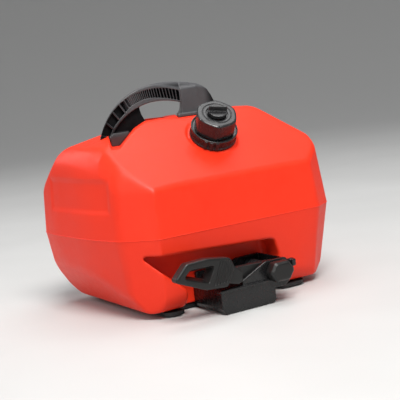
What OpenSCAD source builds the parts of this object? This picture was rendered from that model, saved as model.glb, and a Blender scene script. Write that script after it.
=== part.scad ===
// Portable fuel caddy: blow-moulded tank with a ribbed carry handle, a
// screw cap with a vent knob in it, a base frame and two lever latches
// that hook the caddy down to deck anchors.
// Millimetres. +Z up, -Y front. Origin: bottom centre, on the floor plane.

/* [Tank] */
// Length of the tank at its parting line
tank_len = 366; // [362:1:372]
// Width of the tank at its parting line
tank_w = 260; // [252:1:280]
// Height of the roof ridge above the floor
ridge_z = 251; // [246:1:258]
// Height of the parting line above the floor
part_z = 109; // [100:1:116]
// Wall thickness of the tank
wall = 4; // [3:0.5:5]
// Draft of the upper walls, millimetres in per millimetre up
draft_up = 0.12; // [0.08:0.01:0.14]
// Draft of the lower walls, millimetres in per millimetre down
draft_dn = 0.11; // [0.08:0.01:0.13]
// Half width of the tank's bottom
bottom_hw = 106; // [100:1:108]

/* [Filler] */
// Position of the filler neck along the tank
neck_x = 14.5; // [0:0.5:20]
// Distance of the filler neck in front of the middle plane
neck_y = 61; // [58:1:66]
// Lean of the filler neck towards the left end, in degrees
neck_lean = 8.5; // [0:0.5:9]
// Bore radius of the filler neck
neck_bore_r = 18.5; // [16:0.5:19]
// Outside radius of the filler neck
neck_r = 22.5; // [22:0.1:23]
// Outside radius of the lock ring round the neck
collar_r = 32.5; // [32:0.5:34]
// Width of the cap across its flats
cap_af = 52.5; // [52.5:0.5:56]
// Thread pitch of the cap
cap_pitch = 6; // [6:0.5:7]

/* [Handle] */
// Height of the top of the handle above the floor
handle_z = 302; // [300:1:306]
// Half width of the grip
grip_hw = 12; // [11:0.5:14]
// Number of small stiffening ribs on each side of the grip
grip_ribs = 22; // [12:1:26]

/* [Latch] */
// Position of the latch pivot along the tank
piv_x = 28; // [26:1:30]
// Height of the latch pivot above the floor
piv_z = 43; // [42:0.5:44]
// Radius of the pivot shaft
shaft_r = 5; // [4.5:0.1:5.2]
// Running clearance of the shaft in its bushes
run_c = 0.05; // [0.03:0.01:0.09]

/* [Base] */
// Thickness of the base frame plate
base_t = 5; // [4:0.5:5]
// Radius of the foot pads
pad_r = 13; // [10:0.5:15]

/* [Hidden] */

hl = tank_len / 2;
hw = tank_w / 2;
z_bot = 2 + base_t;             // underside of the tank
pk_y = 90;                      // depth of the latch pockets' back wall
roof_k = 0.7857;                // rise of the front roof per millimetre
roof_y = 24;                    // half width of the flat ridge
tilt = atan(roof_k);            // forward tilt of the filler neck
neck_z = ridge_z - (neck_y - roof_y) * roof_k;
foot_z = 225;                   // seat of the handle's left foot
valley_z = 236;                 // floor of the hand room under the grip
skew_a = 27;                    // angle at which the handle's sides run back
c_red = [0.80, 0.10, 0.05];
c_blk = [0.07, 0.07, 0.07];
c_gry = [0.16, 0.16, 0.16];
c_stl = [0.62, 0.63, 0.65];
c_brs = [0.72, 0.55, 0.22];
c_rub = [0.04, 0.04, 0.04];

// ---- small geometry helpers -------------------------------------------
function unit(v) = v / norm(v);
function at(p, i) = p[(i + len(p)) % len(p)];
// left normal of an edge of a counter-clockwise outline points inward
function nrm(a, b) = let (d = unit(b - a)) [-d[1], d[0]];
function meet(a, d, b, e) =
  let (k = d[0] * e[1] - d[1] * e[0], w = b - a)
  a + d * ((w[0] * e[1] - w[1] * e[0]) / k);
// outline moved inward by s (outward where s is negative)
function inset(p, s) = [for (i = [0 : len(p) - 1])
  let (a = at(p, i - 1), b = p[i], c = at(p, i + 1))
  meet(a + s * nrm(a, b), b - a, b + s * nrm(b, c), c - b)];
// outline with its corners rounded; r is a list of radii, n arc steps
function rounded(p, r, n) = [for (i = [0 : len(p) - 1])
  let (b = p[i], u = unit(at(p, i - 1) - b), v = unit(at(p, i + 1) - b),
       h = acos(max(-1, min(1, u * v))) / 2, t = r[i] / tan(h),
       c = b + unit(u + v) * (r[i] / sin(h)),
       s0 = b + u * t - c, s1 = b + v * t - c,
       a0 = atan2(s0[1], s0[0]), da = atan2(s1[1], s1[0]) - a0,
       d = da > 180 ? da - 360 : (da < -180 ? da + 360 : da))
  for (k = [0 : n]) c + r[i] * [cos(a0 + d * k / n), sin(a0 + d * k / n)]];
function bez(p, t) = let (u = 1 - t)
  u * u * u * p[0] + 3 * u * u * t * p[1] + 3 * u * t * t * p[2] + t * t * t * p[3];
// extrude an (x, z) outline along Y from y0 to y1
module along_y(y0, y1) translate([0, y1, 0]) rotate([90, 0, 0])
  linear_extrude(height = y1 - y0) children();
// the same for the handle, whose sides run back at an angle to the Y axis
module skew_y(y0, y1, p) intersection() {
  rotate([0, 0, -skew_a]) along_y(-160, 160) polygon([for (q = p) [q[0] * cos(skew_a), q[1]]]);
  translate([-400, y0, 0]) cube([800, y1 - y0, 400]);
}
// a cylinder along Y from y0 to y1
module cyl_y(x, z, r, y0, y1, n = 48) translate([x, y1, z])
  rotate([90, 0, 0]) cylinder(r = r, h = y1 - y0, $fn = n);
// things drawn on the filler's own axis, w up from the roof
module on_neck() translate([neck_x, -neck_y, neck_z]) rotate([tilt, -neck_lean, 0]) children();
module rear_of() mirror([0, 1, 0]) children();

// ---- tank --------------------------------------------------------------
plan_v = [[-123, -hw], [132, -hw], [168.5, -105], [hl - 4, -55], [hl, 0], [hl - 4, 55],
  [165, 103], [132, hw], [-152, hw], [-hl + 4.5, 115.5], [-hl - 0.3, 62], [-hl + 6, -20],
  [-161, -92]];
plan_r = [12, 20, 30, 60, 120, 60, 30, 20, 24, 34, 80, 120, 26];
function plan(s) = rounded(inset(plan_v, s), [for (r = plan_r) max(r - s, 4)], 3);
// the tank's outline in three rings: bottom, parting line, top
module plan_block(s) {
  zs = [z_bot - 10, part_z, ridge_z + 10];
  ds = [draft_dn * (part_z - z_bot + 10), 0, draft_up * (ridge_z + 10 - part_z)];
  m = len(plan(0));
  pts = [for (k = [0 : 2]) for (q = plan(ds[k] + s)) [q[0], q[1], zs[k]]];
  polyhedron(pts, concat(
    [[for (i = [0 : m - 1]) i]],
    [for (k = [0 : 1]) for (i = [0 : m - 1]) let (j = (i + 1) % m)
      [k * m + i, (k + 1) * m + i, (k + 1) * m + j, k * m + j]],
    [[for (i = [m - 1 : -1 : 0]) 2 * m + i]]), convexity = 4);
}
long_v = [[-134, z_bot], [134, z_bot], [205, 68], [205, 161], [114, ridge_z],
  [-70, ridge_z], [-157, 227.5], [-176, 216], [-205, 170], [-205, 113]];
cross_v = [[-bottom_hw, z_bot], [bottom_hw, z_bot], [150, 66], [150, 150],
  [roof_y, ridge_z - 8], [roof_y - 4, ridge_z], [-roof_y, ridge_z],
  [-150, ridge_z - (150 - roof_y) * roof_k], [-150, 66]];
module tank_form(s) intersection() {
  plan_block(s);
  along_y(-200, 200) polygon(inset(long_v, s));
  rotate([90, 0, 90]) translate([0, 0, -250]) linear_extrude(height = 500)
    polygon(inset(cross_v, s));
}
// seat of the handle's left foot
notch_v = [[-110.5, foot_z], [-97.4, foot_z], [-80.8, foot_z + 14.5], [-58, 290], [-117.5, 290]];
// hand room under the grip, between the two roof humps
valley_v = [[-95, valley_z], [-18, valley_z], [-8, 290], [-95, 290]];
// latch pocket in the lower front
pocket_v = [[-84, -20], [66, -20], [64, 56], [57, 83], [-142, 92.5], [-121, 67], [-84, 34]];
// lower shoulder at the left of the roof: a gentler slope than the front's,
// set off from the main hump by a diagonal step, with a nearly level top
step_v = [[-195, -140], [-75, -25], [-75, 10], [-230, 10], [-230, -140]];
top_v = [[-230, 231.8], [-75, 236], [-75, 300], [-230, 300]];
module shoulder(s) {
  p = inset(step_v, -s);
  m = len(p);
  polyhedron(concat([for (q = p) [q[0], q[1], 246.7 + 0.108 * q[0] + 0.376 * q[1] - 1.07 * s]],
    [for (q = p) [q[0], q[1], 340]]), concat([[for (i = [0 : m - 1]) i]],
    [for (i = [0 : m - 1]) let (j = (i + 1) % m) [i, m + i, m + j, j]],
    [[for (i = [m - 1 : -1 : 0]) m + i]]), convexity = 4);
  along_y(-25 - s, 200) polygon(inset(top_v, -s));
}
module cuts(s) {
  shoulder(s);
  skew_y(-60, 20 + s, inset(notch_v, -s));
  along_y(-19 - s, 19 + s) polygon(inset(valley_v, -s));
  along_y(-200, -pk_y + s) polygon(inset(pocket_v, -s));
  rear_of() along_y(-200, -pk_y + s) polygon(inset(pocket_v, -s));
  // spot face round the leaning filler neck
  on_neck() translate([0, 0, 0.6 - s]) cylinder(r = 36.5 + s, h = 40, $fn = 64);
}
handle_pts = [[-110.1, -13, foot_z], [-96.9, 13, foot_z], [67, -12, ridge_z], [79, 12, ridge_z]];
base_pts = [[-78, -62], [78, -62], [-78, 62], [78, 62]];
latch_pts = [[-44, 43], [56, 40]];
module bosses() {
  for (p = handle_pts) translate([p[0], p[1], p[2] - 19]) cylinder(r = 8, h = 17, $fn = 32);
  for (p = base_pts) translate([p[0], p[1], z_bot + 2]) cylinder(r = 9, h = 18, $fn = 32);
  for (p = latch_pts) {
    cyl_y(p[0], p[1], 8, -pk_y + 2, -pk_y + 19, 32);
    cyl_y(p[0], p[1], 8, pk_y - 19, pk_y - 2, 32);
  }
}
module insert_holes() {
  for (p = handle_pts) translate([p[0], p[1], p[2] - 14]) cylinder(r = 4, h = 20, $fn = 32);
  for (p = base_pts) translate([p[0], p[1], z_bot - 5]) cylinder(r = 4.5, h = 19, $fn = 32);
  for (p = latch_pts) {
    cyl_y(p[0], p[1], 4, -pk_y - 5, -pk_y + 14, 32);
    cyl_y(p[0], p[1], 4, pk_y - 14, pk_y + 5, 32);
  }
}
// one helical thread ridge round the Z axis: r0 root, r1 crest
module helix(r0, r1, z0, turns, hb, hc, n = 24) {
  k = ceil(turns * n);
  sec = r1 > r0 ? [[r0, -hb], [r1, -hc], [r1, hc], [r0, hb]]
                : [[r1, -hc], [r0, -hb], [r0, hb], [r1, hc]];
  pts = [for (i = [0 : k]) let (a = 360 * i / n, z = z0 + cap_pitch * i / n)
    for (q = sec) [q[0] * cos(a), q[0] * sin(a), z + q[1]]];
  polyhedron(pts, concat([[0, 1, 2, 3]],
    [for (i = [0 : k - 1]) for (j = [0 : 3]) let (l = (j + 1) % 4)
      [4 * i + 4 + j, 4 * i + 4 + l, 4 * i + l, 4 * i + j]],
    [[4 * k + 3, 4 * k + 2, 4 * k + 1, 4 * k]]), convexity = 6);
}
module tank_shell() color(c_red) difference() {
  union() {
    difference() {
      tank_form(0);
      cuts(0);
      difference() { tank_form(wall); cuts(wall); }
    }
    bosses();
    on_neck() {
      translate([0, 0, -8]) cylinder(r = 35, h = 9, $fn = 64);
      translate([0, 0, -7]) cylinder(r = neck_r, h = 37, $fn = 64);
      helix(neck_r - 0.7, neck_r + 1.5, 18.5, 1.25, 1.5, 0.7);
    }
  }
  insert_holes();
  on_neck() translate([0, 0, -30]) cylinder(r = neck_bore_r, h = 80, $fn = 64);
}
module tube(ro, ri, h) difference() {
  cylinder(r = ro, h = h, $fn = 32);
  translate([0, 0, -1]) cylinder(r = ri, h = h + 2, $fn = 32);
}
module handle_inserts() color(c_brs) for (p = handle_pts)
  translate([p[0], p[1], p[2] - 14]) tube(4, 2.5, 13.5);
module base_inserts() color(c_brs) for (p = base_pts)
  translate([p[0], p[1], z_bot + 0.5]) tube(4.5, 3, 13.5);
module front_latch_inserts() color(c_brs) for (p = latch_pts)
  translate([p[0], -pk_y + 14, p[1]]) rotate([90, 0, 0]) tube(4, 2.5, 13.5);
module rear_latch_inserts() rear_of() front_latch_inserts();

// ---- carry handle --------------------------------------------------------
h_out = [[-126, foot_z + 11], [-113, handle_z - 27], [-68, handle_z + 10], [6, handle_z - 2.4]];
h_in = [[-108, foot_z + 11], [-94, handle_z - 40], [-52, handle_z - 12], [6, handle_z - 31]];
grip_n = 16;
function h_pt(t, f) = bez(h_out, t) * (1 - f) + bez(h_in, t) * f;
rib_t = 1.8;
function grip_cell(t0, t1) = let (a = h_pt(t0, 0.15), b = h_pt(t0, 0.85),
  c = h_pt(t1, 0.85), d = h_pt(t1, 0.15), g0 = unit(c - b) * rib_t / 2)
  [a + g0, b + g0, c - g0, d - g0];
// parameter steps: three wide cells low on the left leg, then the small ones
cell_t = concat([0.02, 0.11, 0.20, 0.29],
  [for (i = [1 : grip_ribs]) 0.29 + 0.70 * i / grip_ribs]);
module carry_handle() color(c_gry) difference() {
  union() {
    intersection() {
      difference() {
        skew_y(-grip_hw, grip_hw, concat(
          [for (i = [0 : grip_n]) bez(h_out, i / grip_n)],
          [[21, handle_z - 4.6], [21, handle_z - 31]],
          [for (i = [grip_n : -1 : 0]) bez(h_in, i / grip_n)]));
        for (y = [-grip_hw - 1, 4]) intersection() {
          rotate([0, 0, -skew_a]) along_y(-160, 160) for (i = [0 : len(cell_t) - 2])
            polygon([for (q = grip_cell(cell_t[i], cell_t[i + 1])) [q[0] * cos(skew_a), q[1]]]);
          translate([-400, y, 0]) cube([800, grip_hw - 3, 400]);
        }
      }
      // the grip narrows towards its left foot
      linear_extrude(height = 400) polygon([[-140, -8.5], [-60, -grip_hw - 0.5], [40, -grip_hw - 1],
        [40, grip_hw + 1], [-60, grip_hw + 0.5], [-140, 8.5]]);
    }
    // solid-sided right post and its foot flange
    skew_y(-14, 14, [[4, ridge_z], [6, handle_z - 32], [6, handle_z - 2.4], [21, handle_z - 4.6],
      [33, handle_z - 7], [43, handle_z - 11], [50, handle_z - 16], [55, handle_z - 24],
      [60, handle_z - 35], [64, ridge_z]]);
    skew_y(-19, 19, [[-2, ridge_z], [86, ridge_z], [86, ridge_z + 4],
      [84, ridge_z + 5], [0, ridge_z + 5], [-2, ridge_z + 4]]);
    // left foot: wedge block in its seat, and the corner web
    skew_y(-18.5, 18.5, [[-109, foot_z], [-98, foot_z], [-82, foot_z + 14],
      [-80.4, foot_z + 17], [-105, foot_z + 17], [-111.5, foot_z + 13]]);
    skew_y(-4, 4, [[-108, foot_z + 13], [-88, foot_z + 15], [-54, foot_z + 15],
      [-54.5, foot_z + 26], [-60, foot_z + 38], [-65, foot_z + 50], [-92, foot_z + 34]]);
  }
  for (p = handle_pts) translate([p[0], p[1], p[2] - 5]) {
    cylinder(r = 2.7, h = 30, $fn = 32);
    translate([0, 0, 10]) cylinder(r = 4.7, h = 30, $fn = 32);
  }
}
module screw_z(r, l, hr, hh) {
  translate([0, 0, -l]) cylinder(r = r, h = l + 0.5, $fn = 32);
  difference() {
    cylinder(r = hr, h = hh, $fn = 32);
    translate([0, 0, hh - 1.6]) cylinder(r = hr * 0.5, h = 3, $fn = 6);
  }
}
module handle_screws() color(c_stl) for (p = handle_pts)
  translate([p[0], p[1], p[2] + 5]) screw_z(2.45, 17, 4.4, 3.2);

// ---- filler ----------------------------------------------------------------
function knurl(ro, ri, n) = [for (i = [0 : n - 1]) let (a = 360 / n * i, h = 360 / n)
  for (q = [[ri, -0.28], [ro, -0.20], [ro, 0.20], [ri, 0.28]])
    q[0] * [cos(a + q[1] * h), sin(a + q[1] * h)]];
module lock_ring() color(c_blk) on_neck() difference() {
  union() {
    translate([0, 0, 1]) cylinder(r = collar_r, h = 3.2, $fn = 96);
    translate([0, 0, 4]) linear_extrude(height = 10.2) polygon(knurl(collar_r - 0.3, collar_r - 1.2, 48));
    translate([0, 0, 14]) cylinder(r = collar_r, h = 2, $fn = 96);
    translate([0, 0, 15.9]) cylinder(r = collar_r - 1.2, h = 1.1, $fn = 96);
    for (a = [-14, 0, 14]) rotate([0, 0, 230 + a]) translate([collar_r - 3, -2, 2.6])
      cube([4.2, 4, 12.6]);
  }
  translate([0, 0, -1]) cylinder(r = neck_r + 0.02, h = 9, $fn = 64);
  translate([0, 0, 7.9]) cylinder(r = 25.2, h = 12, $fn = 64);
}
module cap_seal() color(c_rub) on_neck() difference() {
  translate([0, 0, 30.3]) cylinder(r = neck_r + 1.4, h = 2.9, $fn = 64);
  translate([0, 0, 29]) cylinder(r = 5, h = 6, $fn = 32);
}
cap_r = cap_af / 2 + 1;
cap_h = 30 - acos(cap_af / 2 / cap_r);
// six flats with rounded corners and a rib on each corner
cap_v = [for (i = [0 : 5]) for (q = [[cap_r, -cap_h], [cap_r, -cap_h * 0.65], [cap_r, -4.8],
    [cap_r + 0.7, -4], [cap_r + 0.7, 4], [cap_r, 4.8], [cap_r, cap_h * 0.65], [cap_r, cap_h]])
  q[0] * [cos(59 + 60 * i + q[1]), sin(59 + 60 * i + q[1])]];
// four short lugs inside the cap that run under the neck's thread ridge
module cap_lug(a) rotate([0, 0, a]) translate([0, 0, 20.5 + cap_pitch * a / 360])
  linear_extrude(height = 2) polygon(concat(
    [for (i = [0 : 4]) (neck_r + 2.8) * [cos(6 * i), sin(6 * i)]],
    [for (i = [4 : -1 : 0]) (neck_r + 0.7) * [cos(6 * i), sin(6 * i)]]));
module filler_cap() color(c_blk) on_neck() {
  difference() {
    union() {
      translate([0, 0, 17.6]) linear_extrude(height = 22.5) polygon(cap_v);
      translate([0, 0, 40]) cylinder(r1 = cap_af / 2 - 0.3, r2 = cap_af / 2 - 1.3, h = 1, $fn = 80);
    }
    translate([0, 0, 16]) cylinder(r = neck_r + 2, h = 17.5, $fn = 64);
    translate([0, 0, 30]) cylinder(r = 4.05, h = 20, $fn = 32);
    // ring groove and the seat of the vent knob
    translate([0, 0, 40]) difference() {
      cylinder(r = cap_af / 2 - 4, h = 3, $fn = 80);
      translate([0, 0, -1]) cylinder(r = cap_af / 2 - 5.8, h = 5, $fn = 80);
    }
    translate([0, 0, 39.4]) cylinder(r = 15, h = 4, $fn = 64);
  }
  for (a = [0, 90, 180, 270]) cap_lug(a);
}
module vent_seal() color(c_rub) on_neck() translate([0, 0, 39.5])
  rotate_extrude($fn = 48) translate([6, 0]) square([3, 1.2]);
module vent_knob() color(c_blk) on_neck() difference() {
  union() {
    translate([0, 0, 31]) cylinder(r = 4, h = 11, $fn = 32);
    translate([0, 0, 41]) cylinder(r = 13.2, h = 3.6, $fn = 64);
    // a tall finger bar across the disc
    intersection() {
      translate([0, 0, 44]) cylinder(r1 = 12.9, r2 = 12.3, h = 6.2, $fn = 64);
      rotate([0, 0, -26]) translate([-15, -2.4, 43]) cube([30, 4.8, 8]);
    }
  }
  translate([0, 0, 28]) cylinder(r = 1, h = 10, $fn = 16);
}

// ---- base ------------------------------------------------------------------
base_v = [[-114, -110], [-88, -110], [-88, -86], [70, -86], [70, -110], [114, -110],
  [114, 110], [70, 110], [70, 86], [-88, 86], [-88, 110], [-114, 110]];
base_r = [14, 8, 6, 6, 8, 14, 14, 8, 6, 6, 8, 14];
pad_pts = [[-92, -90], [92, -90], [-92, 90], [92, 90]];
module base_frame() color(c_blk) difference() {
  translate([0, 0, 2]) linear_extrude(height = base_t) polygon(rounded(base_v, base_r, 6));
  for (p = base_pts) translate([p[0], p[1], -1]) {
    cylinder(r = 3.2, h = 20, $fn = 32);
    cylinder(r = 6, h = 5, $fn = 32);
  }
  for (p = pad_pts) translate([p[0], p[1], -1]) cylinder(r = pad_r, h = 5, $fn = 48);
}
module base_bolts() color(c_stl) for (p = base_pts) translate([p[0], p[1], 4])
  rotate([180, 0, 0]) screw_z(2.95, 15, 5.6, 1.9);
module foot_pads() color(c_rub) for (p = pad_pts) translate([p[0], p[1], 0]) {
  cylinder(r = pad_r - 0.02, h = 4, $fn = 48);
}

// ---- latch (front; the rear one is its mirror image) -----------------------
y_f = -162;       // front face of the bracket's front wall
y_b = -pk_y;      // back of the bracket, against the pocket
bar_dx = -26; bar_dz = -25;   // anchor bar below the pivot
module front_bracket() color(c_blk) difference() {
  union() {
    // foot block
    along_y(y_f, y_b) polygon([[-56, 1], [20, 1], [24, 5], [24, 34], [-60, 34], [-60, 8]]);
    // ledge round the top of the block
    along_y(y_f - 3, y_f + 8) polygon([[-63, 30], [7, 30], [7, 34], [-63, 34]]);
    // front wall with its sloping top edge, and the boss round the bush
    along_y(y_f, y_f + 6) polygon([[-26, 33], [-26, 40], [12, 58], [44, 58], [50, 50],
      [50, 28], [40, 20], [20, 20]]);
    // right side wall
    along_y(y_f, y_b) polygon([[45, 24], [50, 28], [50, 50], [45, 57]]);
    // stop ear beside the boss
    along_y(y_f, y_f + 6) polygon([[47, 42], [58, 44], [58, 54], [45, 54]]);
    along_y(y_f - 4, y_f + 1) polygon([[51.5, 43.5], [58, 44.5], [58, 53.5], [51.5, 53]]);
    // back plate
    along_y(y_b - 6, y_b) polygon([[-56, 20], [24, 10], [50, 14], [62, 28], [62, 48],
      [44, 56], [12, 56], [-8, 50], [-54, 50], [-56, 48]]);
  }
  // room for the hub, the claw and the spring
  cyl_y(piv_x, piv_z, 15, y_f + 6, y_b - 6);
  along_y(-147, -131) polygon([[-24, -5], [24.5, -5], [24.5, 60], [-24, 60]]);
  // anchor slot, open downwards
  along_y(-153, -118) polygon([[piv_x + bar_dx - 7, -5], [piv_x + bar_dx + 7, -5],
    [piv_x + bar_dx + 7, 25], [piv_x + bar_dx - 7, 25]]);
  // lightening room behind the lever side of the block
  along_y(-150, -102) polygon([[-52, -5], [-30, -5], [-30, 28], [-52, 28]]);
  // bush bores and screw holes
  cyl_y(piv_x, piv_z, 7, y_f - 1, y_b + 1);
  for (p = latch_pts) cyl_y(p[0], p[1], 2.7, y_b - 10, y_b + 1);
}
module front_bushes() color(c_gry) for (y = [y_f + 0.2, y_b - 5.8]) difference() {
  cyl_y(piv_x, piv_z, 7, y, y + 5.6);
  cyl_y(piv_x, piv_z, shaft_r + run_c, y - 1, y + 7);
}
module front_bracket_screws() color(c_stl) for (p = latch_pts)
  translate([p[0], y_b - 6, p[1]]) rotate([90, 0, 0]) screw_z(2.45, 17, 4.4, 3.2);
ring_v = [[-54, 38.5], [-41, 63], [-47, 76], [-81, 81], [-112, 80], [-132, 60], [-86, 41]];
hole_v = [[-82, 49], [-70, 70.5], [-107, 71.5], [-119, 62]];
module front_lever() color(c_gry) difference() {
  union() {
    // loop with its finger hole
    along_y(-172, -158) difference() {
      polygon(rounded(ring_v, [8, 9, 9, 10, 9, 7, 9], 4));
      polygon(rounded(inset(hole_v, 0), [4, 4, 4, 4], 3));
    }
    // slanted grip ribs on the loop
    for (i = [0 : 5]) along_y(-173.2, -171) polygon([
      [-74 + i * 4.6, 44 + 0.2 * i], [-72.2 + i * 4.6, 44 + 0.2 * i],
      [-61.2 + i * 3.6, 75 - 0.8 * i], [-63 + i * 3.6, 75 - 0.8 * i]]);
    // neck and arm
    along_y(-168, -145) polygon([[-58, 44], [-36, 38], [-29, 40], [-29, 55], [-44, 66], [-56, 66]]);
    along_y(-155.5, -145) polygon([[-40, 40], [piv_x, piv_z - 7.5], [piv_x, piv_z + 13], [-40, 58]]);
    cyl_y(piv_x, piv_z, 13, -155.5, -145);
  }
  cyl_y(piv_x, piv_z, shaft_r, -160, -140);
}
function arc(r, a0, a1, n) = [for (i = [0 : n]) let (a = a0 + (a1 - a0) * i / n)
  [piv_x + r * cos(a), piv_z + r * sin(a)]];
module front_claw() color(c_stl) difference() {
  union() {
    cyl_y(piv_x, piv_z, 11, -144.5, -133.5);
    along_y(-143.5, -134.5) polygon(concat([[piv_x, piv_z]], arc(46.5, 188, 206, 5)));
    along_y(-143.5, -134.5) polygon(concat(arc(46.5, 188, 232, 12), arc(40.6, 230, 188, 12)));
  }
  cyl_y(piv_x, piv_z, shaft_r, -160, -120);
}
module front_shaft() color(c_stl) difference() {
  union() {
    cyl_y(piv_x, piv_z, shaft_r, -166, y_b - 0.5);
    cyl_y(piv_x, piv_z, 9, -169, -163);
  }
  difference() {
    cyl_y(piv_x, piv_z, 8, -98.2, -97);
    cyl_y(piv_x, piv_z, 4, -99, -96);
  }
}
module front_clip() color(c_stl) difference() {
  cyl_y(piv_x, piv_z, 8.5, -98.1, -97.1);
  cyl_y(piv_x, piv_z, 4.02, -99, -96);
  along_y(-99, -96) polygon([[piv_x - 3, piv_z - 12], [piv_x + 3, piv_z - 12],
    [piv_x + 3, piv_z], [piv_x - 3, piv_z]]);
}
module front_boss_cap() color(c_gry) difference() {
  union() {
    along_y(-174, -163) polygon(rounded([[piv_x - 12, piv_z - 14], [piv_x + 12, piv_z - 14],
      [piv_x + 21, piv_z], [piv_x + 12, piv_z + 14], [piv_x - 12, piv_z + 14],
      [piv_x - 21, piv_z]], [4, 4, 5, 4, 4, 5], 3));
    along_y(-179, -173) polygon([[piv_x - 9, piv_z - 10], [piv_x + 9, piv_z - 10],
      [piv_x + 16, piv_z], [piv_x + 9, piv_z + 10], [piv_x - 9, piv_z + 10],
      [piv_x - 16, piv_z]]);
  }
  cyl_y(piv_x, piv_z, 9, -169, -160);
}
// torsion spring: round wire wound on the shaft between claw and clip
module front_spring() color(c_stl) {
  n = 18; turns = 5; m = 6; rc = 8.2; rw = 1.0;
  k = n * turns;
  pts = [for (i = [0 : k]) let (a = 360 * i / n, y = -132 + 28 * i / k)
    for (j = [0 : m - 1]) let (b = 360 * j / m, q = rc + rw * cos(b))
      [piv_x + q * cos(a), y + rw * sin(b), piv_z + q * sin(a)]];
  polyhedron(pts, concat([[for (j = [0 : m - 1]) j]],
    [for (i = [0 : k - 1]) for (j = [0 : m - 1]) let (l = (j + 1) % m)
      [m * i + j, m * (i + 1) + j, m * (i + 1) + l, m * i + l]],
    [[for (j = [m - 1 : -1 : 0]) m * k + j]]), convexity = 8);
}
module rear_bracket() rear_of() front_bracket();
module rear_bushes() rear_of() front_bushes();
module rear_bracket_screws() rear_of() front_bracket_screws();
module rear_lever() rear_of() front_lever();
module rear_claw() rear_of() front_claw();
module rear_shaft() rear_of() front_shaft();
module rear_clip() rear_of() front_clip();
module rear_boss_cap() rear_of() front_boss_cap();
module rear_spring() rear_of() front_spring();

tank_shell();
handle_inserts();
base_inserts();
front_latch_inserts();
rear_latch_inserts();
carry_handle();
handle_screws();
lock_ring();
cap_seal();
filler_cap();
vent_seal();
vent_knob();
base_frame();
base_bolts();
foot_pads();
front_bracket();
front_bushes();
front_bracket_screws();
front_lever();
front_claw();
front_shaft();
front_clip();
front_boss_cap();
front_spring();
rear_bracket();
rear_bushes();
rear_bracket_screws();
rear_lever();
rear_claw();
rear_shaft();
rear_clip();
rear_boss_cap();
rear_spring();
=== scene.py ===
import math

import bpy
import numpy as np
from mathutils import Matrix, Vector


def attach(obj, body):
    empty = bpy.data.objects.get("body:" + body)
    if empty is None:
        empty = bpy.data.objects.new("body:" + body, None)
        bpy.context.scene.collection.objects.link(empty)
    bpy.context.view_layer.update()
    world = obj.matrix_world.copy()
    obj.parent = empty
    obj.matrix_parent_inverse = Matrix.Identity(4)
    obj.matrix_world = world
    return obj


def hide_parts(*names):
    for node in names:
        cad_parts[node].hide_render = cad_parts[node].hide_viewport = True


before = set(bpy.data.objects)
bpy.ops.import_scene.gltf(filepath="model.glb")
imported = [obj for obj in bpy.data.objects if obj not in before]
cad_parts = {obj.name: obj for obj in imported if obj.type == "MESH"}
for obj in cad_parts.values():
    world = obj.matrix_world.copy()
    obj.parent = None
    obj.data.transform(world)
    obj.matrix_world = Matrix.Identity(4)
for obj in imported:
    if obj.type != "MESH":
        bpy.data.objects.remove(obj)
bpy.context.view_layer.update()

# Shapes are written in millimetres, as in the CAD source, and turned to metres
# when a mesh is made. Each moulded part is a distance field cut into quads, so
# its edges are rounded the way a moulding's are.
MM = 0.001

# ---------------------------------------------------------------- 2-D outlines


def rounded(pts, radii, n=6):
    """An outline with each corner replaced by an arc."""
    p = [np.array(q, float) for q in pts]
    if not hasattr(radii, "__len__"):
        radii = [radii] * len(p)
    out = []
    for i, b in enumerate(p):
        u = p[i - 1] - b
        v = p[(i + 1) % len(p)] - b
        u = u / np.linalg.norm(u)
        v = v / np.linalg.norm(v)
        h = math.acos(max(-1, min(1, float(u @ v)))) / 2
        r = radii[i]
        if r <= 0 or h > 1.565:
            out.append(b)
            continue
        t = r / math.tan(h)
        c = b + (u + v) / np.linalg.norm(u + v) * (r / math.sin(h))
        s0, s1 = b + u * t - c, b + v * t - c
        a0, a1 = math.atan2(s0[1], s0[0]), math.atan2(s1[1], s1[0])
        d = (a1 - a0 + math.pi) % (2 * math.pi) - math.pi
        for k in range(n + 1):
            a = a0 + d * k / n
            out.append(c + r * np.array([math.cos(a), math.sin(a)]))
    return np.array(out)


def bez(p, t):
    p = [np.array(q, float) for q in p]
    u = 1 - t
    return u**3 * p[0] + 3 * u * u * t * p[1] + 3 * u * t * t * p[2] + t**3 * p[3]


def poly_sd(px, py, pts):
    """Signed distance to a closed outline, negative inside."""
    pts = np.asarray(pts, np.float32)
    px, py = np.broadcast_arrays(px, py)
    d = np.full(px.shape, 1e12, np.float32)
    s = np.ones(px.shape, bool)
    for i in range(len(pts)):
        a, b = pts[i], pts[i - 1]
        ex, ey = b - a
        n = ex * ex + ey * ey
        if n < 1e-12:
            continue
        wx, wy = px - a[0], py - a[1]
        t = np.clip((wx * ex + wy * ey) / n, 0, 1)
        bx, by = wx - ex * t, wy - ey * t
        np.minimum(d, bx * bx + by * by, out=d)
        c1, c2, c3 = py >= a[1], py < b[1], ex * wy > ey * wx
        s ^= (c1 & c2 & c3) | ~(c1 | c2 | c3)
    return np.where(s, 1, -1).astype(np.float32) * np.sqrt(d)


def seg_d(px, py, a, b):
    ex, ey = b[0] - a[0], b[1] - a[1]
    wx, wy = px - a[0], py - a[1]
    t = np.clip((wx * ex + wy * ey) / (ex * ex + ey * ey), 0, 1)
    return np.hypot(wx - ex * t, wy - ey * t)


# ------------------------------------------------------------ distance fields


def both(a, b, r):
    """Where a and b overlap, with a round of radius r on the edge."""
    u, v = np.maximum(a + r, 0), np.maximum(b + r, 0)
    return np.minimum(np.maximum(a, b), -r) + np.sqrt(u * u + v * v)


def join(a, b, r):
    """a and b together, with a fillet of radius r between them."""
    if r <= 0:
        return np.minimum(a, b)
    u, v = np.maximum(r - a, 0), np.maximum(r - b, 0)
    return np.maximum(np.minimum(a, b), r) - np.sqrt(u * u + v * v)


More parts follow.
